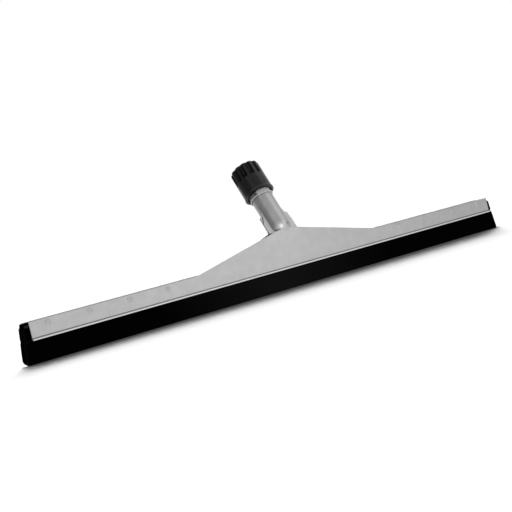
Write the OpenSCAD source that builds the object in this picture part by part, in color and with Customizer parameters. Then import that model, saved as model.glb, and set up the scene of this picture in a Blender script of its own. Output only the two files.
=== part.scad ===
// Floor squeegee head. A pressed steel frame holds two moss rubber strips, and a
// leaning socket with a clamp nut takes a round handle.
// Lengths are in millimetres. X runs along the blade, -Y is the front and Z is up.
// The origin is the middle of the blade's lower edge, where it meets the floor.

/* [Rubber] */
// Thickness of one rubber strip
strip_t = 10.5; // [8:0.5:13]
// Height of rubber that shows below the plates' hems
blade_drop = 25.8; // [15:0.1:40]
// Length of rubber past each end of the frame, at the rubber's top
blade_over = 4.4; // [1:0.1:10]
// How much further each end of the rubber reaches at the floor than at its top
blade_slant = 6; // [0:0.2:12]
// Radius of the front strip's lower corners
front_corner_r = 1.5; // [0.5:0.5:8]
// Radius of the rear strip's lower corners
rear_corner_r = 5; // [0.5:0.5:8]
// Thickness of the tongue along a strip's top
tongue_t = 7; // [4:0.5:7.5]
// Height of the tongue
tongue_h = 2.6; // [1:0.1:3]
// Height of the sloping shoulder under the tongue
shoulder_h = 2.8; // [1:0.1:4]

/* [Plates] */
// Length of the steel frame
frame_len = 750; // [600:5:1000]
// Height of the plates' strip from its hem to its top
strip_h = 21.8; // [20:0.1:32]
// Thickness of the pressed plates
plate_t = 1.2; // [0.8:0.1:1.6]
// Radius of the rolled hem along each lower edge
hem_r = 1.1; // [0.9:0.1:1.6]
// How far a hem's middle stands out from its plate's face
hem_out = 0.9; // [0.2:0.1:2]
// Height of the groove above the hem
groove_h = 1.5; // [0.5:0.1:3]
// How far the groove pinches into the rubber
groove_in = 1.2; // [0.8:0.1:2]
// Half width of the front web where it leaves the strip
web_half = 148; // [110:1:200]
// Height of the front web's peak above the strip
web_rise = 32.7; // [26:0.1:40]
// Radius where the front web runs out into the strip
web_blend_r = 70; // [20:5:150]
// Radius of the front web's peak
web_peak_r = 12; // [8:1:18]
// Half width of the back web where it leaves the strip
back_half = 96; // [70:1:105]
// How far the back web's neck is narrower than the tube, on each side
back_neck_in = 1; // [0:0.1:1.5]
// Height of the back web's neck below the middle of the tube's round end
back_neck_h = 7; // [4:0.5:10]

/* [Rivets] */
// Diameter of a rivet's shank
rivet_d = 3.2; // [2:0.1:4]
// Diameter of a rivet's head
rivet_head_d = 7; // [5:0.1:8]
// Height of a rivet's head
rivet_head_h = 1.1; // [0.5:0.1:1.5]
// Distance of the last rivet from the frame's end
rivet_end = 22.2; // [12:0.1:40]
// Distance between rivets
rivet_pitch = 53.4; // [30:0.1:55]
// Number of rivets on each wing
rivet_count = 4; // [2:1:4]
// Distance of the rivets below the strip's top
rivet_down = 5.4; // [4.5:0.1:9]

/* [Socket] */
// Lean of the socket behind the upright plates, in degrees
lean = 29; // [15:1:35]
// Length of the tube above its round end
tube_len = 47; // [40:1:70]
// How far the tube's round end stands out from the front web
dome_out = 2; // [0.5:0.1:4]
// Height of the round end's middle above the front web's peak
socket_up = 2; // [0:0.5:4]
// Distance of the joint between the socket's two pressings in front of the tube's axis
joint_front = 2; // [0:0.5:8]
// Width of the side flanges
flange_w = 8.3; // [6:0.1:14]
// Length of the flanges below the round end's middle
flange_down = 9; // [4:0.5:12]
// Length of the back flanges above the round end's middle
back_flange_up = 18.5; // [12:0.5:28]
// Bevel of the back flanges' upper corners
back_flange_cut = 2; // [0.5:0.5:4]
// Length of the front flanges' full width above the round end's middle
front_flange_up = 6; // [2:1:12]
// Length over which the front flanges narrow to a lip
flange_taper = 10; // [5:1:15]
// Width of the lip where it begins
lip_w = 4.1; // [1:0.1:5]
// Length over which the lip runs out into the tube
lip_len = 18; // [8:1:22]

/* [Sleeve] */
// Diameter of the handle's bore
handle_bore_d = 24; // [20:0.5:30]
// Wall of the sleeve inside the tube
sleeve_wall = 1.5; // [1.2:0.1:2]
// Height of the ledge that stops the handle
stop_h = 5; // [3:0.5:10]
// Width of the ledge that stops the handle
stop_w = 2; // [1:0.1:4]
// How far the collar stands out from the tube's mouth
collar_out = 1.7; // [1.7:0.1:3]
// Height of the collar
collar_h = 2; // [1:0.1:4]
// Wall of the neck, out to the crest of its thread
neck_wall = 4; // [3.4:0.1:4.2]
// Length of the threaded neck
neck_len = 30; // [26:0.5:40]
// Width of the neck's slots
slot_w = 2.4; // [1.8:0.1:4]
// Turn of the first slot from the front towards the left, in degrees
slot_turn = 55; // [0:1:89]

/* [Clamp] */
// Height of the clamping cone on the grip ring
cone_h = 12; // [8:0.5:16]
// Height of the grip ring's straight foot
grip_foot_h = 3; // [2:0.5:5]
// Wall of the grip ring at its top
grip_wall = 1.2; // [0.8:0.1:1.6]
// Length of the grip ring's keys in the neck's slots
key_len = 12; // [10:0.5:20]
// Wall of the clamp nut around the neck, at the nut's top
nut_wall = 4.2; // [3.8:0.1:5]
// Widening of the nut's skirt towards its mouth
nut_flare = 0.1; // [0:0.1:2]
// Thickness of the nut's top above the grip ring
nut_lip = 3.3; // [2.5:0.1:8]
// Gap between the collar and the nut's rim when clamped
nut_gap = 4.5; // [1:0.5:6]
// How far the rim stands out from the skirt
rim_out = 0.7; // [0.4:0.1:2]
// Height of the rim
rim_h = 2.4; // [1:0.1:4]
// Number of grip flutes around the nut
flute_count = 12; // [6:1:16]
// Radius of a flute
flute_r = 3.2; // [1.5:0.1:3.5]
// Depth of a flute below the nut's surface
flute_deep = 2.8; // [1:0.1:3]
// Length of the flutes from the nut's top
flute_len = 20.5; // [10:0.5:26]
// Turn of the first flute from the front towards the right, in degrees
flute_turn = 13; // [0:1:29]
// Rounding of the nut's top edge
nut_top_r = 2; // [0.5:0.1:2.2]

/* [Clearances] */
// Gap between the rubber and the plates' grooves
rubber_gap = 0.1; // [0.05:0.05:0.5]
// Depth of the rubber's top below the plates' top
rubber_low = 0.4; // [0:0.1:1]
// Gap around a rivet in its hole
rivet_gap = 0.1; // [0.05:0.05:0.3]
// Gap between the sleeve and the tube
sleeve_gap = 0.1; // [0.05:0.05:0.3]
// Gap between pieces that turn or slide on each other
run_gap = 0.3; // [0.2:0.05:0.5]

/* [Hidden] */

steel = [0.72, 0.72, 0.72];
pale_plastic = [0.75, 0.75, 0.74];
black_plastic = [0.07, 0.07, 0.07];
black_rubber = [0.03, 0.03, 0.03];

fine = 96;
medium = 48;
arc_steps = 8;
over = 1;

// Levels and depths of the frame
top_z = blade_drop + strip_h;
hem_z = blade_drop + hem_r;
hem_top = hem_z + plate_t / 2;
hem_low = hem_z - plate_t / 2;
plate_low = hem_top + groove_h;
face_y = strip_t + plate_t;
hem_y = face_y + hem_out;
rubber_top = top_z - rubber_low;
rubber_half = frame_len / 2 + blade_over;
rivet_z = top_z - rivet_down;

// The socket's axis passes through the middle of the tube's round end
bore_r = handle_bore_d / 2;
tail_r = bore_r + sleeve_wall;
tube_in_r = tail_r + sleeve_gap;
tube_r = tube_in_r + plate_t;
peak_z = top_z + web_rise;
axis_y = tube_r - dome_out - face_y;
axis_z = peak_z + socket_up;
back_neck = tube_r - back_neck_in;
joint_r = sqrt(tube_r * tube_r - joint_front * joint_front);

// Places along the socket's axis, from the middle of the round end
collar_top = tube_len + collar_h;
neck_top = collar_top + neck_len;
thread_r = bore_r + neck_wall;
grip_low = neck_top + run_gap;
grip_cone_low = grip_low + grip_foot_h;
grip_top = grip_cone_low + cone_h;
grip_in_r = bore_r + run_gap;
grip_top_r = grip_in_r + grip_wall;
grip_r = thread_r - 2 * run_gap;
nut_low = collar_top + nut_gap;
nut_top = grip_top + run_gap + nut_lip;
nut_mouth_r = grip_in_r + run_gap;
nut_bore_r = thread_r + run_gap;
nut_r = nut_bore_r + nut_wall;
nut_skirt_r = nut_r + nut_flare;

// Puts its children on the socket's axis, with -Y towards the front of the socket
module on_axis() {
    translate([0, axis_y, axis_z]) rotate([-lean, 0, 0]) children();
}

// An outline drawn in X and Z, made into a sheet from the depth y0 towards the back
module sheet_xz(y0, t) {
    translate([0, y0 + t, 0]) rotate([90, 0, 0]) linear_extrude(t) children();
}

// A profile drawn in Y and Z, drawn out along X over a length about the middle
module along_x(length) {
    rotate([90, 0, 90]) translate([0, 0, -length / 2]) linear_extrude(length) children();
}

module both_sides() {
    children();
    mirror([1, 0, 0]) children();
}

// Places a child at each rivet, with Z pointing to the back
module at_rivets() {
    for (side = [-1, 1])
        for (i = [0 : rivet_count - 1])
            translate([side * (frame_len / 2 - rivet_end - i * rivet_pitch), 0, rivet_z])
                rotate([-90, 0, 0]) children();
}

module rivet_holes() {
    at_rivets()
        translate([0, 0, -face_y - over])
            cylinder(d = rivet_d + 2 * rivet_gap, h = 2 * (face_y + over), $fn = medium);
}

// Outline of the front plate, strip and web in one sheet
web_angle = atan(web_rise / web_half);
blend_x = web_half + web_blend_r * tan(web_angle / 2);
peak_mid = peak_z - web_peak_r / cos(web_angle);

function blend_point(side, i) =
    let (a = web_angle * i / arc_steps)
    [side * (blend_x - web_blend_r * sin(a)), top_z + web_blend_r * (1 - cos(a))];

function peak_point(i) =
    let (a = 90 - web_angle + 2 * web_angle * i / arc_steps)
    [web_peak_r * cos(a), peak_mid + web_peak_r * sin(a)];

front_outline = concat(
    [[-frame_len / 2, plate_low], [frame_len / 2, plate_low], [frame_len / 2, top_z]],
    [for (i = [0 : arc_steps]) blend_point(1, i)],
    [for (i = [0 : arc_steps]) peak_point(i)],
    [for (i = [arc_steps : -1 : 0]) blend_point(-1, i)],
    [[-frame_len / 2, top_z]]);

// Outline of the back plate, strip and a narrower web that ends in a neck
back_outline = [
    [-frame_len / 2, plate_low], [frame_len / 2, plate_low], [frame_len / 2, top_z],
    [back_half, top_z], [back_neck, axis_z - back_neck_h], [back_neck, axis_z],
    [-back_neck, axis_z], [-back_neck, axis_z - back_neck_h], [-back_half, top_z],
    [-frame_len / 2, top_z]];

// A round rod on the socket's axis with a round lower end
module round_ended(r, h) {
    cylinder(r = r, h = h, $fn = fine);
    sphere(r = r, $fn = fine);
}

// Outlines of the side flanges, in the plane of the joint between the two pressings: the
// front one narrows to a lip that runs out into the tube, and the back one ends square
flange_reach = joint_r + flange_w;
lip_low = front_flange_up + flange_taper;
lip_top = lip_low + lip_len;

front_flange = [[0, -flange_down], [flange_reach, -flange_down], [flange_reach, front_flange_up],
                [joint_r + lip_w, lip_low], [joint_r, lip_top], [0, lip_top]];
back_flange = [[0, -flange_down], [flange_reach, -flange_down],
               [flange_reach, back_flange_up - back_flange_cut],
               [flange_reach - back_flange_cut, back_flange_up], [0, back_flange_up]];

// The socket's share on one side of the joint, still without its hollow: its front for
// side -1 and its back for side 1
module socket_share(side) {
    size = 4 * tube_r + tube_len;
    intersection() {
        round_ended(tube_r, tube_len);
        translate([-size / 2, side > 0 ? -joint_front : -joint_front - size, -size / 2])
            cube([size, size, 2 * size]);
    }
    both_sides()
        translate([0, side > 0 ? plate_t - joint_front : -joint_front, 0])
            rotate([90, 0, 0]) linear_extrude(plate_t)
                polygon(side > 0 ? back_flange : front_flange);
}

module socket_hollow() {
    round_ended(tube_in_r, tube_len + over);
}

// Section of the back plate's lower edge: the groove's step, its wall and the hem's foot
module edge_section() {
    polygon([[strip_t, plate_low + plate_t], [face_y, plate_low + plate_t], [face_y, plate_low],
             [strip_t - groove_in + plate_t, plate_low], [strip_t - groove_in + plate_t, hem_top],
             [hem_y, hem_top], [hem_y, hem_low], [strip_t - groove_in, hem_low],
             [strip_t - groove_in, plate_low + plate_t]]);
}

// Groove and rolled hem along the back plate's lower edge
module plate_edge() {
    along_x(frame_len) edge_section();
    translate([-frame_len / 2, hem_y, hem_z])
        rotate([0, 90, 0]) cylinder(r = hem_r, h = frame_len, $fn = medium);
}

// Front pressing: strip, web, flanges and the front of the socket
module front_plate() {
    color(steel) difference() {
        union() {
            sheet_xz(-face_y, plate_t) polygon(front_outline);
            mirror([0, 1, 0]) plate_edge();
            on_axis() socket_share(-1);
        }
        on_axis() socket_hollow();
        rivet_holes();
    }
}

// Back pressing: strip, a narrower web, flanges and the back of the socket
module back_plate() {
    color(steel) difference() {
        union() {
            sheet_xz(strip_t, plate_t) polygon(back_outline);
            plate_edge();
            on_axis() socket_share(1);
        }
        on_axis() socket_hollow();
        rivet_holes();
    }
}

// Section of a strip, from its flat inner face out to the plate, pinched at the groove
module strip_section() {
    tongue_z = rubber_top - tongue_h;
    pinch_y = strip_t - groove_in - rubber_gap;
    pinch_low = hem_low - rubber_gap;
    pinch_top = plate_low + plate_t + rubber_gap;
    polygon([[0, 0], [strip_t, 0], [strip_t, pinch_low], [pinch_y, pinch_low],
             [pinch_y, pinch_top], [strip_t, pinch_top], [strip_t, tongue_z - shoulder_h],
             [tongue_t, tongue_z], [tongue_t, rubber_top], [0, rubber_top]]);
}

// Side view of a strip: slanted ends, and lower corners rounded by a circle that touches
// the floor edge and the end
module strip_side(corner_r) {
    slope = blade_slant / rubber_top;
    reach = sqrt(1 + slope * slope);
    corner_x = rubber_half + blade_slant - corner_r * (slope + reach);
    touch_x = corner_x + corner_r / reach;
    touch_z = corner_r * (1 + slope / reach);
    polygon([[-corner_x, 0], [corner_x, 0], [touch_x, touch_z], [rubber_half, rubber_top],
             [-rubber_half, rubber_top], [-touch_x, touch_z]]);
    for (x = [-corner_x, corner_x])
        translate([x, corner_r]) circle(r = corner_r, $fn = medium);
}

// One moss rubber strip, on the front for -1 and on the back for 1
module rubber_strip(side) {
    color(black_rubber) difference() {
        intersection() {
            along_x(2 * (rubber_half + blade_slant + over))
                if (side > 0) strip_section();
                else mirror([1, 0]) strip_section();
            sheet_xz(-face_y, 2 * face_y) strip_side(side > 0 ? rear_corner_r : front_corner_r);
        }
        rivet_holes();
    }
}

module front_blade() {
    rubber_strip(-1);
}

module rear_blade() {
    rubber_strip(1);
}

// A low domed rivet head that stands on the plane Z = 0
module rivet_head() {
    dome_r = (pow(rivet_head_d / 2, 2) + pow(rivet_head_h, 2)) / (2 * rivet_head_h);
    intersection() {
        translate([0, 0, rivet_head_h - dome_r]) sphere(r = dome_r, $fn = fine);
        cylinder(d = 2 * rivet_head_d, h = 2 * rivet_head_h, $fn = medium);
    }
}

// Rivets that hold both plates and both strips together
module blade_rivets() {
    color(steel) at_rivets() {
        translate([0, 0, -face_y]) cylinder(d = rivet_d, h = 2 * face_y, $fn = medium);
        for (end = [0, 1])
            mirror([0, 0, end]) translate([0, 0, face_y]) rivet_head();
    }
}

// Places a child at each slot of the neck, with -Y pointing out through the slot
module at_slots() {
    for (turn = [0, 180]) rotate([0, 0, -slot_turn + turn]) children();
}

// Sleeve in the tube: a ledge that stops the handle, a collar and the slotted neck
module socket_sleeve() {
    color(pale_plastic) on_axis() difference() {
        union() {
            cylinder(r = tail_r, h = tube_len, $fn = fine);
            translate([0, 0, tube_len]) cylinder(r = tube_r + collar_out, h = collar_h, $fn = fine);
            translate([0, 0, collar_top]) cylinder(r = thread_r, h = neck_len, $fn = fine);
        }
        translate([0, 0, stop_h]) cylinder(r = bore_r, h = neck_top, $fn = fine);
        translate([0, 0, -over]) cylinder(r = bore_r - stop_w, h = neck_top, $fn = fine);
        at_slots()
            translate([-slot_w / 2, -2 * thread_r, collar_top])
                cube([slot_w, 2 * thread_r, neck_len + over]);
    }
}

// Split ring that the nut wedges on the handle, kept from turning by its two keys
module grip_ring() {
    key_w = slot_w - 2 * run_gap;
    color(pale_plastic) on_axis() {
        difference() {
            union() {
                translate([0, 0, grip_low]) cylinder(r = grip_r, h = grip_foot_h, $fn = fine);
                translate([0, 0, grip_cone_low])
                    cylinder(r1 = grip_r, r2 = grip_top_r, h = cone_h, $fn = fine);
            }
            translate([0, 0, grip_low - over])
                cylinder(r = grip_in_r, h = grip_top, $fn = fine);
            rotate([0, 0, 90 - slot_turn])
                translate([-key_w / 2, -2 * thread_r, grip_low - over])
                    cube([key_w, 2 * thread_r, grip_top]);
        }
        at_slots()
            translate([-key_w / 2, -grip_r + run_gap, grip_low - key_len])
                cube([key_w, grip_r - grip_in_r - 2 * run_gap, key_len + grip_foot_h]);
    }
}

// Outside of the nut: a flared skirt with a rim at its mouth and a rounded top edge
module nut_solid() {
    rim_r = nut_skirt_r + rim_out;
    rotate_extrude($fn = fine)
        polygon(concat(
            [[0, nut_low], [rim_r, nut_low], [rim_r, nut_low + rim_h],
             [nut_skirt_r, nut_low + rim_h + rim_out]],
            [for (i = [0 : arc_steps])
                let (a = 90 * i / arc_steps)
                [nut_r - nut_top_r * (1 - cos(a)), nut_top - nut_top_r * (1 - sin(a))]],
            [[0, nut_top]]));
}

// Inside of the nut: the thread's bore, the wedge that closes the ring and the mouth
module nut_hollow() {
    rotate_extrude($fn = fine)
        polygon([[0, nut_low - over], [nut_bore_r, nut_low - over], [nut_bore_r, grip_cone_low],
                 [grip_r + run_gap, grip_cone_low], [grip_top_r + run_gap, grip_top],
                 [grip_top_r + run_gap, grip_top + run_gap], [nut_mouth_r, grip_top + run_gap],
                 [nut_mouth_r, nut_top + over], [0, nut_top + over]]);
}

// A round-nosed cut that opens at the nut's top and runs out on its side
module flute_cut() {
    translate([0, -(nut_r - flute_deep + flute_r), nut_top - flute_len + flute_r]) {
        sphere(r = flute_r, $fn = medium);
        cylinder(r = flute_r, h = flute_len, $fn = medium);
    }
}

// Fluted nut that is screwed down over the neck
module clamp_nut() {
    color(black_plastic) on_axis() difference() {
        nut_solid();
        nut_hollow();
        for (i = [0 : flute_count - 1])
            rotate([0, 0, flute_turn + 360 * i / flute_count]) flute_cut();
    }
}

front_plate();
back_plate();
front_blade();
rear_blade();
blade_rivets();
socket_sleeve();
grip_ring();
clamp_nut();
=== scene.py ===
# %% [markdown]
# # A floor squeegee head
# Two pressed, zinc-plated steel plates are riveted through two strips of black moss
# rubber. A leaning socket rises from their middle, and a fluted black nut clamps the
# handle in it. The CAD model gives every size, so this lesson only dresses it: the steel
# plates stay, and the rubber, the threaded sleeve and the nut are modelled again with
# finer forms in the same place.

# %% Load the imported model
import math

import bmesh
import bpy
from mathutils import Matrix, Vector


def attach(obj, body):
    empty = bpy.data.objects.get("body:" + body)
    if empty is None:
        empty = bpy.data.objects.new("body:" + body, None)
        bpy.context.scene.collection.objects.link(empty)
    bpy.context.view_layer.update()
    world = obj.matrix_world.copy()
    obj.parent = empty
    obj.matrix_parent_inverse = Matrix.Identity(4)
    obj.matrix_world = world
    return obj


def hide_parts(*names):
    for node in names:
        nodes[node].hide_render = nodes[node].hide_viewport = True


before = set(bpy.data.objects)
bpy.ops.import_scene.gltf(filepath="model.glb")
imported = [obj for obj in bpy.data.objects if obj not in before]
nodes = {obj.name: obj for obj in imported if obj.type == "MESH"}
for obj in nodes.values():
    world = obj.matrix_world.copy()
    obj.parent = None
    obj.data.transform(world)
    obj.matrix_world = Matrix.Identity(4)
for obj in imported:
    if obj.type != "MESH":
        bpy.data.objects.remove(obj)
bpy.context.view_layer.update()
print("CAD nodes:", sorted(nodes))

# %% [markdown]
# ## The socket's axis
# Everything round on this object stands on one axis that leans backwards. The nut and the
# sleeve could be modelled at that slant, but upright at the origin their formulas stay
# simple, and one matrix then carries them to their place. Lengths below are in
# millimetres, and MM turns them into Blender's metres.

# %% Place of the socket
MM = 0.001
LEAN = math.radians(29)
SOCKET_FOOT = Vector((0, 1.1, 82.3)) * MM
socket_place = Matrix.Translation(SOCKET_FOOT) @ Matrix.Rotation(-LEAN, 4, "X")
print("socket axis:", [round(v, 4) for v in socket_place.to_3x3() @ Vector((0, 0, 1))])


# %% [markdown]
# ## Meshes from points
# The new pieces are grids of points. A grid could be skinned with modifiers from a few
# curves, but writing the points keeps every edge where the CAD model has it. One helper
# makes the mesh and marks its sharp edges, another joins the rows of a grid with quads.

# %% Helpers for meshes
def add_piece(name, points, faces, place=Matrix.Identity(4), sharp=40):
    """An object from points in millimetres, smooth apart from edges over `sharp` degrees."""
    mesh = bpy.data.meshes.new(name)
    mesh.from_pydata([tuple(place @ (Vector(p) * MM)) for p in points], [], faces)
    mesh.validate()
    mesh.shade_smooth()
    mesh.set_sharp_from_angle(angle=math.radians(sharp))
    piece = bpy.data.objects.new(name, mesh)
    bpy.context.scene.collection.objects.link(piece)
    print(f"{name}: {len(mesh.vertices)} points, {len(mesh.polygons)} faces")
    return piece


def grid_faces(rows, columns, start=0, close_rows=False, close_columns=True):
    """Quads between rows of points; the last row or column can join the first."""
    faces = []
    for i in range(rows if close_rows else rows - 1):
        for j in range(columns if close_columns else columns - 1):
            a, b = i * columns, (i + 1) % rows * columns
            k = (j + 1) % columns
            faces.append((start + a + j, start + a + k, start + b + k, start + b + j))
    return faces


def clamp(value, low, high):
    """The value, kept between two limits."""
    return min(high, max(low, value))


print("quads between two rings of 8 points:", len(grid_faces(2, 8)))

# %% [markdown]
# ## Moss rubber strips
# The wiping edge is two strips of foamed rubber, back to back. Each one has a pinched
# waist where the plate's groove grips it, and a narrower tongue along its top. The ends
# are cut at a slant and the lower corners are rounded. A strip could be an extruded
# curve, but a row of sections lets the lower edge wander a little, as soft rubber does.

# %% Section of a strip
STRIP_T, WAIST_T, TONGUE_T = 10.5, 9.2, 7.0
HEM_Z, WAIST_TOP, SHOULDER_Z, TONGUE_Z, STRIP_TOP = 26.2, 30.3, 41.8, 44.6, 47.2

# Corner points of the section (depth, height) and the radius of each corner
strip_corners = [
    (0, 0, 0.5), (STRIP_T, 0, 0.9), (STRIP_T, HEM_Z, 0.2), (WAIST_T, HEM_Z, 0.2),
    (WAIST_T, WAIST_TOP, 0.2), (STRIP_T, WAIST_TOP, 0.2), (STRIP_T, SHOULDER_Z, 0.5),
    (TONGUE_T, TONGUE_Z, 0.5), (TONGUE_T, STRIP_TOP, 0.5), (0, STRIP_TOP, 0.5),
]


def corner_cut(corners, i):
    """Where the rounding of a corner starts, the corner itself, and where it ends."""
    y, z, radius = corners[i]
    here = Vector((y, z))
    before = Vector(corners[i - 1][:2]) - here
    after = Vector(corners[(i + 1) % len(corners)][:2]) - here
    cut = radius / math.tan(before.angle(after) / 2)
    return here + before.normalized() * cut, here, here + after.normalized() * cut


def rounded_outline(corners, steps=4, spacing=2.5):
    """A closed outline with rounded corners and points along its straight runs."""
    cuts = [corner_cut(corners, i) for i in range(len(corners))]
    points = []
    for i, (start, here, end) in enumerate(cuts):
        for k in range(steps + 1):
            t = k / steps
            points.append((1 - t) ** 2 * start + 2 * t * (1 - t) * here + t * t * end)
        stop = cuts[(i + 1) % len(cuts)][0]
        run = (stop - end).length
        for k in range(1, int(run / spacing)):
            points.append(end.lerp(stop, k * spacing / run))
    return points


strip_section = rounded_outline(strip_corners)
print("points around a strip:", len(strip_section))

# %% Stations along a strip
HALF_TOP, END_SLANT = 379.4, 6.0
WANDER, LONG_WAVE, SHORT_WAVE = 0.35, 31, 13.7
RUN_STEPS, RIM_GAP = 90, 0.6

# How far each station at a rim lies from the end, and how far its section draws in there
rim_steps = [(1.6, 0.0), (1.0, 0.06), (0.5, 0.2), (0.18, 0.42), (0.0, 0.8)]
plain_back = rim_steps[0][0] + RIM_GAP

# Share of the half length, distance from the end and draw-in of every station
stations = ([(-1, back, inset) for back, inset in reversed(rim_steps)]
            + [(k / RUN_STEPS, plain_back, 0.0) for k in range(-RUN_STEPS, RUN_STEPS + 1)]
            + [(1, back, inset) for back, inset in rim_steps])


def strip_half(z, corner_r):
    """Half length of a strip at the height z: a slanted end with a round lower corner."""
    slope = END_SLANT / STRIP_TOP
    reach = math.sqrt(1 + slope * slope)
    middle = HALF_TOP + END_SLANT - corner_r * (slope + reach)
    if z < corner_r * (1 + slope / reach):
        return middle + math.sqrt(corner_r ** 2 - (corner_r - z) ** 2)
    return HALF_TOP + END_SLANT * (1 - z / STRIP_TOP)


def strip_points(side, corner_r, phase):
    """Points of one strip; its free edge wanders inwards by a few tenths."""
    points = []
    for t, back, inset in stations:
        for y, z in strip_section:
            x = t * (strip_half(clamp(z, inset, STRIP_TOP), corner_r) - back)
            free = max(0.0, 1 - z / HEM_Z)
            wave = (0.5 + 0.3 * math.sin(x / LONG_WAVE + phase)
                    + 0.2 * math.sin(x / SHORT_WAVE + 2 * phase))
            depth = y - WANDER * free * wave * (y / STRIP_T)
            depth += clamp(STRIP_T / 2 - depth, -1, 1) * inset
            height = z + clamp((STRIP_TOP / 2 - z) / 3, -1, 1) * inset
            points.append((x, side * depth, height))
    return points


print("stations along a strip:", len(stations))

# %% The two strips
FRONT_CORNER_R, REAR_CORNER_R = 1.5, 5.0


def add_strip(name, side, corner_r, phase):
    """One strip with its two end faces; side -1 is the front one."""
    rows, columns = len(stations), len(strip_section)
    faces = grid_faces(rows, columns)
    faces.append(tuple(range(columns)))
    faces.append(tuple(range((rows - 1) * columns, rows * columns)))
    return add_piece(name, strip_points(side, corner_r, phase), faces, sharp=50)


front_rubber = add_strip("front_rubber", side=-1, corner_r=FRONT_CORNER_R, phase=0.4)
rear_rubber = add_strip("rear_rubber", side=1, corner_r=REAR_CORNER_R, phase=2.1)
for rubber, blade in ((front_rubber, "front_blade"), (rear_rubber, "rear_blade")):
    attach(rubber, "frame")
    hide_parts(blade)

# %% [markdown]
# ## Clamp nut
# The nut is a moulded black sleeve. Twelve deep round-nosed flutes run down from its top
# so that a wet hand can turn it, and a thin lip flares out at its mouth. The flutes could
# be cut with booleans. Here the nut is a wheel of columns instead, and a formula gives
# each point the smaller of two radii, the body's and the flute's, blended a little so
# that the edges are soft, as a moulding's are.

# %% Flutes of the nut
NUT_LOW, NUT_TOP = 53.5, 97.87
NUT_R, SKIRT_R, RIM_R = 20.5, 20.6, 21.3
FLUTES, FLUTE_R, FLUTE_DEEP, FLUTE_LEN = 12, 3.2, 2.8, 20.5
FLUTE_TURN = math.radians(13)
BESIDE_FLUTE = 99.0
COLUMNS = FLUTES * 24


def soft_min(a, b, width):
    """The smaller of two radii, with a short blend where they are nearly equal."""
    h = max(width - abs(a - b), 0) / width
    return min(a, b) - h * h * width / 4


def flute_radius(angle, s):
    """Distance from the axis to a flute's wall, or a large number beside the flute."""
    middle = NUT_R - FLUTE_DEEP + FLUTE_R
    below = max(0.0, NUT_TOP - FLUTE_LEN + FLUTE_R - s)
    turn = math.tau / FLUTES
    off = (angle - FLUTE_TURN + turn / 2) % turn - turn / 2
    inside = FLUTE_R ** 2 - below ** 2 - (middle * math.sin(off)) ** 2
    if inside <= 0:
        return BESIDE_FLUTE
    return middle * math.cos(off) - math.sqrt(inside)


print("columns round the nut:", COLUMNS)

# %% Profile of the nut
RIM_H, TOP_R = 2.4, 2.0
BODY_ROWS, TOP_STEPS = 56, 6
FLUTED_R, FACE_R, MOUTH_R = 16.2, 14.6, 12.6
WEDGE_LOW, WEDGE_HIGH, WEDGE_WIDE, WEDGE_NARROW = 82.3, 94.3, 15.7, 13.8
THREAD_R, THREAD_MIDDLE = 16.3, 70.0


def nut_profile():
    """(distance from the axis, place along it, whether flutes cut it) round the wall."""
    rim_top, ledge = NUT_LOW + RIM_H, WEDGE_HIGH + 0.3
    rows = [(THREAD_R, NUT_LOW + 0.5, 0), (THREAD_R + 0.5, NUT_LOW, 0),
            (RIM_R - 0.5, NUT_LOW, 0), (RIM_R - 0.1, NUT_LOW + 0.15, 0),
            (RIM_R, NUT_LOW + 0.6, 0), (RIM_R, rim_top - 0.4, 0),
            (RIM_R - 0.15, rim_top, 0), (SKIRT_R, rim_top + 0.7, 0)]
    low, high = rim_top + 1.2, NUT_TOP - TOP_R
    for k in range(BODY_ROWS):
        t = k / (BODY_ROWS - 1)
        rows.append((SKIRT_R + (NUT_R - SKIRT_R) * t, low + (high - low) * t, 1))
    for k in range(1, TOP_STEPS + 1):
        a = math.pi / 2 * k / TOP_STEPS
        rows.append((NUT_R - TOP_R * (1 - math.cos(a)), high + TOP_R * math.sin(a), 1))
    rows += [(FLUTED_R, NUT_TOP, 1), (FACE_R, NUT_TOP, 0), (MOUTH_R + 0.6, NUT_TOP, 0),
             (MOUTH_R + 0.15, NUT_TOP - 0.15, 0), (MOUTH_R, NUT_TOP - 0.6, 0),
             (MOUTH_R, ledge, 0), (WEDGE_NARROW, ledge, 0), (WEDGE_NARROW, WEDGE_HIGH, 0),
             (WEDGE_WIDE, WEDGE_LOW, 0), (THREAD_R, WEDGE_LOW, 0), (THREAD_R, THREAD_MIDDLE, 0)]
    return rows


nut_rows = nut_profile()
print("rows round the nut's wall:", len(nut_rows))

# %% The nut
EDGE_BLEND = 0.4


def on_circle(radius, angle, s):
    """A point round the upright axis; angle 0 is in front."""
    return radius * math.sin(angle), -radius * math.cos(angle), s


nut_points = []
for r, s, fluted in nut_rows:
    for j in range(COLUMNS):
        angle = math.tau * j / COLUMNS
        reach = soft_min(r, flute_radius(angle, s), EDGE_BLEND) if fluted else r
        nut_points.append(on_circle(reach, angle, s))
nut_faces = grid_faces(len(nut_rows), COLUMNS, close_rows=True)
fluted_nut = add_piece("fluted_nut", nut_points, nut_faces, socket_place)
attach(fluted_nut, "nut")
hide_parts("clamp_nut")

# %% [markdown]
# ## Threaded sleeve
# A pale plastic sleeve sits inside the steel tube. Its collar rests on the tube's mouth,
# and its neck carries the thread that the nut runs on, with two slots that keep the grip
# ring from turning. The thread could be a screw modifier on a small profile, but the
# slots would have to be cut afterwards. Each half of the neck is a curved slab of points
# instead, whose outside follows the thread's rise and fall.

# %% Sleeve's tail and collar
BORE_R, LEDGE_R, TAIL_R, COLLAR_R = 12.0, 10.0, 13.5, 16.5
LEDGE_TOP, TUBE_LEN, COLLAR_TOP, NECK_TOP = 5.0, 47.0, 49.0, 79.0
SLEEVE_COLUMNS = 96

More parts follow.
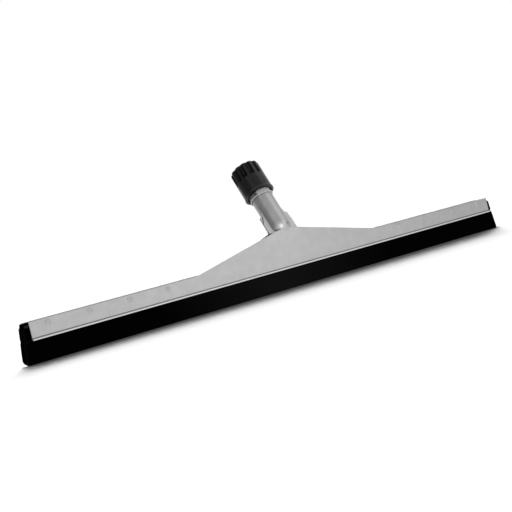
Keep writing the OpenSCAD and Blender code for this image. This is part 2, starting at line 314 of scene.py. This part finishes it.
sleeve_rows = [
    (LEDGE_R, 0.0), (TAIL_R - 0.4, 0.0), (TAIL_R, 0.4), (TAIL_R, TUBE_LEN),
    (COLLAR_R - 0.3, TUBE_LEN), (COLLAR_R, TUBE_LEN + 0.3), (COLLAR_R, COLLAR_TOP - 0.5),
    (COLLAR_R - 0.5, COLLAR_TOP), (BORE_R, COLLAR_TOP), (BORE_R, LEDGE_TOP),
    (LEDGE_R, LEDGE_TOP),
]
sleeve_points = [on_circle(r, math.tau * j / SLEEVE_COLUMNS, s)
                 for r, s in sleeve_rows for j in range(SLEEVE_COLUMNS)]
sleeve_faces = grid_faces(len(sleeve_rows), SLEEVE_COLUMNS, close_rows=True)
print("points in the sleeve's tail:", len(sleeve_points))

# %% Thread of the neck
CREST_R, ROOT_R, FOOT_R, PITCH = 16.0, 14.9, 15.4, 4.0
FLANK, ROOT_FLAT = 2.2, 0.6
THREAD_LOW, RUN_IN, RUN_OUT = 54.5, 1.5, 1.2


def neck_radius(angle, s):
    """Outside of the neck: a plain foot, then a rounded right-hand thread that fades out."""
    phase = ((s - PITCH * angle / math.tau) / PITCH) % 1
    rise = clamp(FLANK * abs(2 * phase - 1) - ROOT_FLAT, 0.0, 1.0)
    fade = clamp((s - THREAD_LOW) / RUN_IN, 0.0, 1.0) * clamp((NECK_TOP - s) / RUN_OUT, 0.0, 1.0)
    return FOOT_R + fade * (ROOT_R + (CREST_R - ROOT_R) * rise - FOOT_R)


print("radius on a crest:", max(neck_radius(0, THREAD_LOW + RUN_IN + k / 10) for k in range(40)))

# %% Neck halves
SLOT_W, SLOT_TURN = 2.4, math.radians(55)
NECK_COLUMNS, NECK_STEP, NECK_SINK = 64, 0.25, 0.2
INNER_LEVELS = (70.0, 60.0)

neck_count = int((NECK_TOP - COLLAR_TOP) / NECK_STEP) + 1
neck_low = COLLAR_TOP - NECK_SINK
# Height of each row of a slab, and whether the row is on its inside
neck_rows = ([(neck_low, False)]
             + [(COLLAR_TOP + NECK_STEP * k, False) for k in range(neck_count)]
             + [(s, True) for s in (NECK_TOP, *INNER_LEVELS, neck_low)])


def add_neck_half(points, faces, turn):
    """One half of the neck between the two slots, as a closed slab."""
    start = len(points)
    for s, inside in neck_rows:
        for j in range(NECK_COLUMNS + 1):
            r = BORE_R if inside else neck_radius(turn + math.pi * j / NECK_COLUMNS, s)
            edge = math.asin(SLOT_W / 2 / r)
            angle = turn + edge + (math.pi - 2 * edge) * j / NECK_COLUMNS
            points.append(on_circle(r, angle, s))
    rows, columns = len(neck_rows), NECK_COLUMNS + 1
    faces += grid_faces(rows, columns, start, close_rows=True, close_columns=False)
    faces.append(tuple(start + i * columns for i in range(rows)))
    faces.append(tuple(start + i * columns + columns - 1 for i in reversed(range(rows))))


for half in (0, 1):
    add_neck_half(sleeve_points, sleeve_faces, half * math.pi - SLOT_TURN)
threaded_sleeve = add_piece("threaded_sleeve", sleeve_points, sleeve_faces, socket_place)
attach(threaded_sleeve, "frame")
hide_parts("socket_sleeve")

# %% [markdown]
# ## Outward faces
# The grids above were written in whatever order was easiest, so some faces may look
# inwards. Each list could be turned round by hand, but Blender settles it by itself for
# closed shells, and counting the open edges shows that the shells are closed.

# %% Turn the faces outwards
for piece in (front_rubber, rear_rubber, fluted_nut, threaded_sleeve):
    work = bmesh.new()
    work.from_mesh(piece.data)
    bmesh.ops.recalc_face_normals(work, faces=work.faces)
    open_edges = sum(1 for edge in work.edges if not edge.is_manifold)
    work.to_mesh(piece.data)
    work.free()
    print(piece.name, "open edges:", open_edges)


# %% [markdown]
# ## Shared surface effects
# Five effects turn up in more than one finish: wear along edges, painted shade and grime in
# corners, a thin film of dust, streaks from rolling and the fine grain of a mould. Their
# nodes could be copied into each material. As groups with named sockets they are built
# once, and a material only says how much of each there is.

# %% Helpers for nodes
def new_group(name, inputs, outputs):
    """An empty node group with float inputs and outputs, and its two end nodes."""
    group = bpy.data.node_groups.new(name, "ShaderNodeTree")
    face = group.interface
    for title, default in inputs:
        socket = face.new_socket(name=title, in_out="INPUT", socket_type="NodeSocketFloat")
        socket.default_value = default
    for title in outputs:
        face.new_socket(name=title, in_out="OUTPUT", socket_type="NodeSocketFloat")
    return group, group.nodes.new("NodeGroupInput"), group.nodes.new("NodeGroupOutput")


def add_node(tree, kind, links=(), **settings):
    """A node with its settings, and a number or a link for each socket that is named."""
    node = tree.nodes.new(kind)
    for key, value in settings.items():
        setattr(node, key, value)
    for socket, source in links:
        if isinstance(source, bpy.types.NodeSocket):
            tree.links.new(source, node.inputs[socket])
        else:
            node.inputs[socket].default_value = source
    return node


def own_place(tree):
    """The place of a point on its own object, in metres."""
    return tree.nodes.new("ShaderNodeTexCoord").outputs["Object"]


def combine(tree, operation, *values, **settings):
    """The result of a Math node."""
    node = add_node(tree, "ShaderNodeMath", enumerate(values), operation=operation, **settings)
    return node.outputs["Value"]


def rise_between(tree, value, start, end):
    """0 up to the start, 1 from the end on, and an even rise between them."""
    links = [("Value", value), ("From Min", start), ("From Max", end)]
    return add_node(tree, "ShaderNodeMapRange", links).outputs["Result"]


print("node groups so far:", len(bpy.data.node_groups))

# %% [markdown]
# ### Edge wear
# Edges lose their skin first. A mask could come from the mesh's own sharp edges, but those
# lines have no width. A Bevel node gives the normal of a rounded edge, and where it turns
# away from the true normal there is an edge. Noise breaks the line up. On the steel the
# mask darkens the edges, which is partly painted edge shade.

# %% Edge wear
edge_wear, group_in, group_out = new_group(
    "edge_wear", [("Width", 0.0006), ("Amount", 1.0)], ["Mask"])
round_normal = add_node(
    edge_wear, "ShaderNodeBevel", [("Radius", group_in.outputs["Width"])], samples=6)
true_normal = add_node(edge_wear, "ShaderNodeNewGeometry")
likeness = add_node(edge_wear, "ShaderNodeVectorMath", [
    (0, round_normal.outputs["Normal"]), (1, true_normal.outputs["Normal"])],
    operation="DOT_PRODUCT")
sharpness = rise_between(edge_wear, likeness.outputs["Value"], 0.98, 0.75)
patches = add_node(
    edge_wear, "ShaderNodeTexNoise", [("Vector", own_place(edge_wear)), ("Scale", 260.0)])
broken = rise_between(edge_wear, patches.outputs["Fac"], 0.35, 0.65)
at_edges = combine(edge_wear, "MULTIPLY", sharpness, broken)
scaled = combine(edge_wear, "MULTIPLY", at_edges, group_in.outputs["Amount"])
edge_wear.links.new(scaled, group_out.inputs["Mask"])
print("edge_wear:", len(edge_wear.nodes), "nodes")

# %% [markdown]
# ### Shade and grime in corners
# A mask for shut-in places. The steel and the pale plastic darken their colour with it, a
# painted shade, and the plastics let their coat of gloss fade with it, as dirt keeps
# corners matt. It could be painted by hand, but ambient occlusion already measures how shut
# in a point is, and Reach says how far it looks for walls.

# %% Shade and grime in corners
crevice_shade_and_grime, group_in, group_out = new_group(
    "crevice_shade_and_grime", [("Reach", 0.004), ("Amount", 1.0)], ["Mask"])
openness = add_node(crevice_shade_and_grime, "ShaderNodeAmbientOcclusion", [
    ("Distance", group_in.outputs["Reach"])], samples=8)
shut = rise_between(crevice_shade_and_grime, openness.outputs["AO"], 0.9, 0.4)
scaled = combine(crevice_shade_and_grime, "MULTIPLY", shut, group_in.outputs["Amount"])
crevice_shade_and_grime.links.new(scaled, group_out.inputs["Mask"])
print("crevice_shade_and_grime:", len(crevice_shade_and_grime.nodes), "nodes")

# %% [markdown]
# ### Dust film
# Dust lies in clouds with clean gaps. One even layer would only change the colour, so the
# film is detailed noise whose lower values are cut off.

# %% Dust film
dust_film, group_in, group_out = new_group(
    "dust_film", [("Scale", 30.0), ("Amount", 0.1)], ["Mask"])
clouds = add_node(dust_film, "ShaderNodeTexNoise", [
    ("Vector", own_place(dust_film)), ("Scale", group_in.outputs["Scale"]),
    ("Detail", 6.0), ("Roughness", 0.65)])
cleared = rise_between(dust_film, clouds.outputs["Fac"], 0.4, 0.8)
scaled = combine(dust_film, "MULTIPLY", cleared, group_in.outputs["Amount"])
dust_film.links.new(scaled, group_out.inputs["Mask"])
print("dust_film:", len(dust_film.nodes), "nodes")

# %% [markdown]
# ### Streaks from rolling
# Rolled sheet has fine streaks along its length and soft clouds in its plating. The
# streaks could be anisotropic gloss, but noise that is drawn out along the blade also
# gives the bump its grain.

# %% Streaks from rolling
rolled_streaks, group_in, group_out = new_group(
    "rolled_streaks", [("Fineness", 900.0)], ["Streak", "Cloud"])
place = own_place(rolled_streaks)
drawn_out = add_node(
    rolled_streaks, "ShaderNodeMapping", [("Vector", place), ("Scale", (0.03, 1.0, 1.0))])
streaks = add_node(rolled_streaks, "ShaderNodeTexNoise", [
    ("Vector", drawn_out.outputs["Vector"]), ("Scale", group_in.outputs["Fineness"]),
    ("Detail", 4.0)])
clouds = add_node(rolled_streaks, "ShaderNodeTexNoise", [
    ("Vector", place), ("Scale", 80.0), ("Detail", 5.0), ("Roughness", 0.6)])
stretched = rise_between(rolled_streaks, clouds.outputs["Fac"], 0.3, 0.7)
rolled_streaks.links.new(streaks.outputs["Fac"], group_out.inputs["Streak"])
rolled_streaks.links.new(stretched, group_out.inputs["Cloud"])
print("rolled_streaks:", len(rolled_streaks.nodes), "nodes")

# %% [markdown]
# ### Grain of a mould
# A mould leaves tiny pits, and foam has open pores. Modelled pits would need millions of
# faces. Voronoi cells give their height for a bump, and slow noise gives a mottle.

# %% Grain of a mould
mould_grain, group_in, group_out = new_group(
    "mould_grain", [("Scale", 900.0)], ["Height", "Mottle"])
place = own_place(mould_grain)
pits = add_node(mould_grain, "ShaderNodeTexVoronoi", [
    ("Vector", place), ("Scale", group_in.outputs["Scale"])], feature="SMOOTH_F1")
mottle = add_node(mould_grain, "ShaderNodeTexNoise", [
    ("Vector", place), ("Scale", 120.0), ("Detail", 5.0)])
mould_grain.links.new(pits.outputs["Distance"], group_out.inputs["Height"])
mould_grain.links.new(mottle.outputs["Fac"], group_out.inputs["Mottle"])
print("mould_grain:", len(mould_grain.nodes), "nodes")


# %% [markdown]
# ## Finishes
# Every finish is one Principled shader. All its values could come through nodes, but what
# is the same everywhere sits on the shader itself, and the groups drive only what changes
# over the surface: the colour, the roughness, a coat and a fine bump.

# %% Helpers for finishes
def new_finish(name, **plain):
    """A material with a Principled shader; plain values go straight on its sockets."""
    finish = bpy.data.materials.new(name)
    finish.use_nodes = True
    shader = finish.node_tree.nodes["Principled BSDF"]
    for title, value in plain.items():
        shader.inputs[title.replace("_", " ")].default_value = value
    return finish, finish.node_tree, shader


def add_group(tree, group, **values):
    """One of the shared effects, with this material's own values."""
    node = tree.nodes.new("ShaderNodeGroup")
    node.node_tree = group
    for title, value in values.items():
        node.inputs[title].default_value = value
    return node


def grey(level):
    """A colour without hue."""
    return (level, level, level)


def mix_colour(tree, mask, low, high):
    """A colour that goes from low to high with a mask; either end may be a link."""
    node = tree.nodes.new("ShaderNodeMix")
    node.data_type = "RGBA"
    tree.links.new(mask, node.inputs["Factor"])
    for socket, value in ((node.inputs[6], low), (node.inputs[7], high)):
        if isinstance(value, bpy.types.NodeSocket):
            tree.links.new(value, socket)
        else:
            socket.default_value = (*value, 1)
    return node.outputs[2]


def spread(tree, value, low, high):
    """A value from 0 to 1 spread between two numbers."""
    links = [("Value", value), ("To Min", low), ("To Max", high)]
    return add_node(tree, "ShaderNodeMapRange", links).outputs["Result"]


def bump(tree, shader, height, strength, distance):
    """A fine relief that only tilts the normal."""
    node = add_node(tree, "ShaderNodeBump", [
        ("Height", height), ("Strength", strength), ("Distance", distance)])
    tree.links.new(node.outputs["Normal"], shader.inputs["Normal"])


def split(tree, vector, axis):
    """One coordinate of a vector."""
    return add_node(tree, "ShaderNodeSeparateXYZ", [("Vector", vector)]).outputs[axis]


def dress(name, finish):
    """Gives a CAD node a new finish; its mesh stays as it is."""
    slots = nodes[name].data.materials
    slots.clear()
    slots.append(finish)


print("materials so far:", len(bpy.data.materials))

# %% [markdown]
# ## Zinc-plated steel
# The plates are rolled sheet with a thin bright plating. It mirrors the studio softly:
# rolling leaves streaks along the sheet, the plating is slightly cloudy, and its edges are
# darker, partly as thin, dull plating on cut edges and partly as painted edge shade. The
# colour is darker in shut-in places, a painted shade, and lighter on the rolled hem, a
# painted highlight. A photograph of sheet metal could be wrapped round it, but the patterns
# keep their scale at any distance.

# %% Plated steel
HEM_HIGH, HEM_FADE, HEM_HIGHLIGHT = 27.8, 0.3, 1.45


def paint_hem_highlight(tree, colour, level):
    """The colour, lighter on the hem at the plate's lower edge: a painted highlight."""
    height = split(tree, own_place(tree), "Z")
    on_hem = rise_between(tree, height, HEM_HIGH * MM, (HEM_HIGH - HEM_FADE) * MM)
    return mix_colour(tree, on_hem, colour, grey(level * HEM_HIGHLIGHT))


def plated_steel(name, level, roughness, at_edges, with_hem_highlight=False):
    """Zinc plating of a grey level, whose edges are darkened by a given amount: dull cut edges
    and painted edge shade.
    """
    finish, tree, shader = new_finish(name, Metallic=1.0)
    rolled = add_group(tree, rolled_streaks)
    edge_mask = add_group(tree, edge_wear, Width=0.0009, Amount=at_edges)
    dust = add_group(tree, dust_film, Scale=22.0, Amount=0.1)
    crevice_mask = add_group(tree, crevice_shade_and_grime, Reach=0.0016, Amount=0.9)
    colour = mix_colour(tree, rolled.outputs["Cloud"], grey(level * 0.94), grey(level * 1.06))
    colour = mix_colour(tree, dust.outputs["Mask"], colour, grey(level * 0.86))
    # Darker edges: dull cut edges, and partly a painted edge shade.
    colour = mix_colour(tree, edge_mask.outputs["Mask"], colour, grey(level * 0.5))
    # Painted highlight: a lighter colour along the rolled hem.
    if with_hem_highlight:
        colour = paint_hem_highlight(tree, colour, level)
    # Painted shade: the colour is darkened in shut-in places, such as the groove above the hem
    # and round the rivet heads.
    colour = mix_colour(tree, crevice_mask.outputs["Mask"], colour, grey(level * 0.2))
    tree.links.new(colour, shader.inputs["Base Color"])
    gloss = spread(tree, rolled.outputs["Streak"], roughness - 0.06, roughness + 0.06)
    tree.links.new(gloss, shader.inputs["Roughness"])
    bump(tree, shader, rolled.outputs["Streak"], strength=0.08, distance=0.0002)
    return finish


plate_steel = plated_steel("plate_steel", level=0.47, roughness=0.44, at_edges=0.9, with_hem_highlight=True)
rivet_steel = plated_steel("rivet_steel", level=0.51, roughness=0.58, at_edges=0.5)
dress("front_plate", plate_steel)
dress("back_plate", plate_steel)
dress("blade_rivets", rivet_steel)
print("steel on plates and rivets")

# %% [markdown]
# ## Moss rubber
# Foamed rubber is nearly black and has no gloss. Its skin shows tiny open pores, and the
# floor leaves a thin pale bloom on it. The colour is also paler towards the middle of the
# blade, and lighter on upward faces, a painted light from above. One black would do from
# far away, but close up these are what tell rubber from plastic. Masks from the place and
# the normal put each of them where it belongs.

# %% Rubber
PALE_MIDDLE, PALE_CORE, PALE_REACH = -20, 20, 190

rubber_finish, tree, shader = new_finish("foam_rubber", Metallic=0.0, Specular_IOR_Level=0.01)
pores = add_group(tree, mould_grain, Scale=1300.0)
bloom = add_group(tree, dust_film, Scale=40.0, Amount=0.5)
colour = mix_colour(tree, pores.outputs["Mottle"], grey(0.0001), grey(0.0004))
colour = mix_colour(tree, bloom.outputs["Mask"], colour, grey(0.0015))
# Paler towards the middle of the blade.
shifted = combine(tree, "SUBTRACT", split(tree, own_place(tree), "X"), PALE_MIDDLE * MM)
from_middle = combine(tree, "ABSOLUTE", shifted)
paler_middle = rise_between(tree, from_middle, PALE_REACH * MM, PALE_CORE * MM)
colour = mix_colour(tree, paler_middle, colour, grey(0.0097))
# Painted light: upward faces are lighter, as if lit from above.
facing = add_node(tree, "ShaderNodeNewGeometry").outputs["Normal"]
painted_top_light = rise_between(tree, split(tree, facing, "Z"), 0.3, 0.9)
colour = mix_colour(tree, painted_top_light, colour, grey(0.05))
tree.links.new(colour, shader.inputs["Base Color"])
tree.links.new(spread(tree, pores.outputs["Mottle"], 0.75, 0.95), shader.inputs["Roughness"])
bump(tree, shader, pores.outputs["Height"], strength=0.35, distance=0.0003)
for rubber in (front_rubber, rear_rubber):
    rubber.data.materials.append(rubber_finish)
print("rubber on the strips")

# %% [markdown]
# ## Moulded plastics
# The nut is black plastic. Hands have polished its ridges, and dirt keeps the flutes matt,
# so a coat of gloss fades where the surface is shut in. The sleeve and the grip ring are
# pale plastic of the same kind, and the pale plastic's colour is darkened under the nut on
# its left side, a painted shade. The shade could be painted on by hand, but a mask for
# shut-in places finds the corner under the nut by itself, and a limit along X keeps it to
# one side.

# %% Plastics
SHADE_SIDE, SHADE_FADE = -11.0, 1.0


def paint_shade_under_nut(tree, clean, level):
    """The clean colour, darkened where the surface is shut in on its left side: a painted shade
    under the nut.
    """
    across = split(tree, own_place(tree), "X")
    on_side = rise_between(tree, across, SHADE_SIDE * MM, (SHADE_SIDE - SHADE_FADE) * MM)
    shut_in = add_group(tree, crevice_shade_and_grime, Reach=0.012, Amount=2.0)
    shade_mask = combine(tree, "MULTIPLY", shut_in.outputs["Mask"], on_side, use_clamp=True)
    return mix_colour(tree, shade_mask, clean, grey(level))


def moulded_plastic(name, dark, light, dusty, at_edges, roughness, grip_dirt, under_nut_shade=None):
    """Plastic between two grey levels; grip_dirt says how fast the coat fades in corners."""
    finish, tree, shader = new_finish(
        name, Metallic=0.0, Specular_IOR_Level=0.02, Coat_Roughness=0.3)
    grain = add_group(tree, mould_grain, Scale=700.0)
    edge_mask = add_group(tree, edge_wear, Width=0.0007, Amount=0.5)
    dust = add_group(tree, dust_film, Scale=60.0, Amount=0.25)
    colour = mix_colour(tree, grain.outputs["Mottle"], grey(dark), grey(light))
    colour = mix_colour(tree, dust.outputs["Mask"], colour, grey(dusty))
    colour = mix_colour(tree, edge_mask.outputs["Mask"], colour, grey(at_edges))
    # Painted shade under the nut, on the pale plastic only.
    if under_nut_shade:
        colour = paint_shade_under_nut(tree, colour, under_nut_shade)
    tree.links.new(colour, shader.inputs["Base Color"])
    gloss = spread(tree, grain.outputs["Mottle"], roughness - 0.07, roughness + 0.07)
    tree.links.new(gloss, shader.inputs["Roughness"])
    crevice_mask = add_group(tree, crevice_shade_and_grime, Reach=0.006, Amount=grip_dirt)
    tree.links.new(spread(tree, crevice_mask.outputs["Mask"], 0.8, 0.0), shader.inputs["Coat Weight"])
    bump(tree, shader, grain.outputs["Height"], strength=0.12, distance=0.0002)
    return finish


nut_plastic = moulded_plastic(
    "nut_plastic", dark=0.002, light=0.005, dusty=0.006, at_edges=0.03, roughness=0.36, grip_dirt=4.0)
sleeve_plastic = moulded_plastic(
    "sleeve_plastic", dark=0.80, light=0.86, dusty=0.9, at_edges=0.88, roughness=0.45,
    grip_dirt=0.3, under_nut_shade=0.2)
fluted_nut.data.materials.append(nut_plastic)
threaded_sleeve.data.materials.append(sleeve_plastic)
dress("grip_ring", sleeve_plastic)
print("plastic on nut, sleeve and ring")

# %% [markdown]
# ## Camera
# The photograph was taken from low down on the left, with the camera turned a little on
# its own axis, so the blade runs uphill across the picture. Such a camera could be set by
# eye. This one was worked out from the plate's straight edges, so it is given by its place
# and the two directions that are right and up in the picture.

# %% Camera
CAMERA_PLACE = Vector((-0.8261, -1.1455, 0.0888))
CAMERA_RIGHT = Vector((0.79892, -0.55021, -0.24289))
CAMERA_UP = Vector((0.21527, -0.11549, 0.9697))
FOCAL_PIXELS, PICTURE_PIXELS, SENSOR = 1071.26, 512, 36

camera_data = bpy.data.cameras.new("camera")
camera_data.sensor_width = SENSOR
camera_data.lens = SENSOR * FOCAL_PIXELS / PICTURE_PIXELS
camera = bpy.data.objects.new("camera", camera_data)
bpy.context.scene.collection.objects.link(camera)
backward = CAMERA_RIGHT.cross(CAMERA_UP).normalized()
turned = Matrix((CAMERA_RIGHT, CAMERA_UP, backward)).transposed().to_4x4()
camera.matrix_world = Matrix.Translation(CAMERA_PLACE) @ turned
bpy.context.scene.camera = camera
print("lens:", round(camera_data.lens, 2), "mm")

# %% [markdown]
# ## White studio
# Bright metal looks like what surrounds it. The camera and the reflections see a white
# studio, while matt surfaces get only part of its light. A white room could be modelled
# round the object, but the world's colour gives the same with nothing in the way, and the
# Light Path node tells the kinds of ray apart.

# %% White surroundings
SOFT_LIGHT = 0.4

world = bpy.data.worlds.new("studio")
bpy.context.scene.world = world
world.use_nodes = True
tree = world.node_tree
background = tree.nodes["Background"]
paths = tree.nodes.new("ShaderNodeLightPath").outputs
seen = combine(tree, "MAXIMUM", paths["Is Camera Ray"], paths["Is Glossy Ray"])
seen_or_through = combine(tree, "MAXIMUM", seen, paths["Is Transmission Ray"])
tree.links.new(spread(tree, seen_or_through, SOFT_LIGHT, 1.0), background.inputs["Strength"])
background.inputs["Color"].default_value = (1, 1, 1, 1)
print("soft light:", SOFT_LIGHT)

# %% [markdown]
# ## Floor
# The floor is white in reflections and glows softly on matt surfaces, as the studio does.
# The camera sees a matt floor, which can take a shadow. A shadow catcher would need a
# compositor, so the two are mixed by the kind of ray.

# %% Floor
FLOOR_SIZE, FLOOR_SHADE = 30.0, 0.27
ONE_FACE = [(0, 1, 2, 3)]


def rectangle(width, height):
    """The four corners of a flat sheet round the origin."""
    x, y = width / 2, height / 2
    return [(-x, -y, 0), (x, -y, 0), (x, y, 0), (-x, y, 0)]


def new_stage_finish(name):
    """A material without a shader, and the socket that its surface goes to."""
    finish = bpy.data.materials.new(name)
    finish.use_nodes = True
    tree = finish.node_tree
    tree.nodes.clear()
    return finish, tree, tree.nodes.new("ShaderNodeOutputMaterial").inputs["Surface"]


floor = add_piece("floor", rectangle(FLOOR_SIZE / MM, FLOOR_SIZE / MM), ONE_FACE)
floor_finish, tree, surface = new_stage_finish("floor_finish")
paths = tree.nodes.new("ShaderNodeLightPath").outputs
matt = add_node(tree, "ShaderNodeBsdfDiffuse", [("Color", (*grey(FLOOR_SHADE), 1))])
glow = add_node(tree, "ShaderNodeEmission", [
    ("Strength", spread(tree, paths["Is Diffuse Ray"], 1.0, SOFT_LIGHT))])
either = add_node(tree, "ShaderNodeMixShader", [
    (0, paths["Is Camera Ray"]), (1, glow.outputs["Emission"]), (2, matt.outputs["BSDF"])])
tree.links.new(either.outputs["Shader"], surface)
floor.data.materials.append(floor_finish)

# %% [markdown]
# ## Shadow on the floor
# The shadow comes from two lamps behind the blade, one low and one higher and wider, that
# light the floor alone. The object could hold their light back by itself, but then its
# shadow would trail away at the ends. A flag inside the blade does it instead. It is
# shorter at its top and lower on the left, so that the shadow is equally wide all along
# the blade in the picture.

# %% Helpers for lamps
OBJECT_MIDDLE = Vector((0, 0, 0.06))


def aim(lamp, azimuth, elevation, distance, target=OBJECT_MIDDLE):
    """Puts a lamp round the object: azimuth 0 is in front, positive is to the right."""
    a, e = math.radians(azimuth), math.radians(elevation)
    away = Vector((math.sin(a) * math.cos(e), -math.cos(a) * math.cos(e), math.sin(e)))
    lamp.location = target + away * distance
    lamp.rotation_euler = away.to_track_quat("Z", "Y").to_euler()


def add_lamp(name, kind, **settings):
    """A lamp with its settings, still at the origin."""
    data = bpy.data.lights.new(name, kind)
    for key, value in settings.items():
        setattr(data, key, value)
    lamp = bpy.data.objects.new(name, data)
    bpy.context.scene.collection.objects.link(lamp)
    return lamp


def new_link_set(name, member, state="INCLUDE"):
    """A collection that tells a lamp which object it reaches or leaves out."""
    chosen = bpy.data.collections.new(name)
    chosen.objects.link(member)
    for entry in chosen.collection_objects:
        entry.light_linking.link_state = state
    return chosen


print("lamps so far:", len(bpy.data.lights))

# %% Lamps for the floor
SUN_AZIMUTH, SUN_DISTANCE = 145.8, 3.0
FLAG_CORNERS = [(-390, 0, 0.5), (402, 0, 0.5), (344, 0, 43), (-362, 0, 31)]

flag = add_piece("shadow_flag", FLAG_CORNERS, ONE_FACE)
flag.visible_camera = flag.visible_diffuse = False
flag.visible_glossy = flag.visible_transmission = False
only_floor = new_link_set("only_floor", floor)
only_flag = new_link_set("only_flag", flag)
for name, elevation, width, energy in (("low_sun", 13, 17, 35), ("high_sun", 25, 24, 8.8)):
    sun = add_lamp(name, "SUN", energy=energy, angle=math.radians(width))
    aim(sun, SUN_AZIMUTH, elevation, SUN_DISTANCE)
    sun.light_linking.receiver_collection = only_floor
    sun.light_linking.blocker_collection = only_flag
print("link sets:", only_floor.name, only_flag.name)

# %% [markdown]
# ## Lamps on the object
# A soft box high on the right is the main light. A second one, near the floor, sweeps along
# the plates and keeps them evenly bright, and a narrow flash from the front makes the hot
# spot on the foot of the socket. One large lamp would do for a matt object, but bright
# metal needs a source for each highlight. All three leave the floor out.

# %% Lamps on the object
HOT_SPOT = Vector((-0.006, -0.0124, 0.0821))

key_box = add_lamp("key_box", "AREA", shape="RECTANGLE", size=0.9, size_y=0.7, energy=2.5)
aim(key_box, azimuth=34, elevation=38, distance=2.4)
plate_sweep = add_lamp("plate_sweep", "AREA", shape="RECTANGLE", size=0.7, size_y=0.6, energy=2.3)
aim(plate_sweep, azimuth=35, elevation=2, distance=2.4)
front_flash = add_lamp("front_flash", "SPOT", spot_size=math.radians(2.6), spot_blend=0.9,
                       shadow_soft_size=0.02, energy=33)
aim(front_flash, azimuth=-13, elevation=2, distance=2.2, target=HOT_SPOT)
not_floor = new_link_set("not_floor", floor, "EXCLUDE")
for lamp in (key_box, plate_sweep, front_flash):
    lamp.light_linking.receiver_collection = not_floor

# %% [markdown]
# ## Cards round the object
# The steel shows its surroundings as soft bands. Grey cards stand round the object and
# show only in reflections: the dark ones shade the sides of the tube, the paler ones tone
# down the plates and the nut. The bands could be painted on the metal, but then they
# would stay in place when the object is seen from another side.

# %% Cards round the object
# Name, azimuth, elevation, distance in metres, width and height in millimetres, grey level
CARDS = [
    ("left_card", -118, 12, 1.5, 4200, 2400, 0.22),
    ("top_card", -14, 51, 2.0, 2500, 1500, 0.48),
    ("right_card", 62, 0, 2.2, 1700, 1300, 0.02),
    ("back_card", 98, 24, 2.3, 2800, 1800, 0.75),
    ("front_card", -14, 0, 2.4, 900, 1200, 0.4),
]

for name, azimuth, elevation, distance, width, height, level in CARDS:
    card = add_piece(name, rectangle(width, height), ONE_FACE)
    aim(card, azimuth, elevation, distance)
    card_finish, tree, surface = new_stage_finish(name)
    glow = add_node(tree, "ShaderNodeEmission", [("Color", (*grey(level), 1))])
    tree.links.new(glow.outputs["Emission"], surface)
    card.data.materials.append(card_finish)
    card.visible_camera = card.visible_diffuse = False
    card.visible_shadow = card.visible_transmission = False

# %% [markdown]
# ## Finish
# The view transform could make the picture softer. It stays plain, so a colour comes out
# as it was written.

# %% Plain view transform
bpy.context.scene.view_settings.view_transform = "Standard"
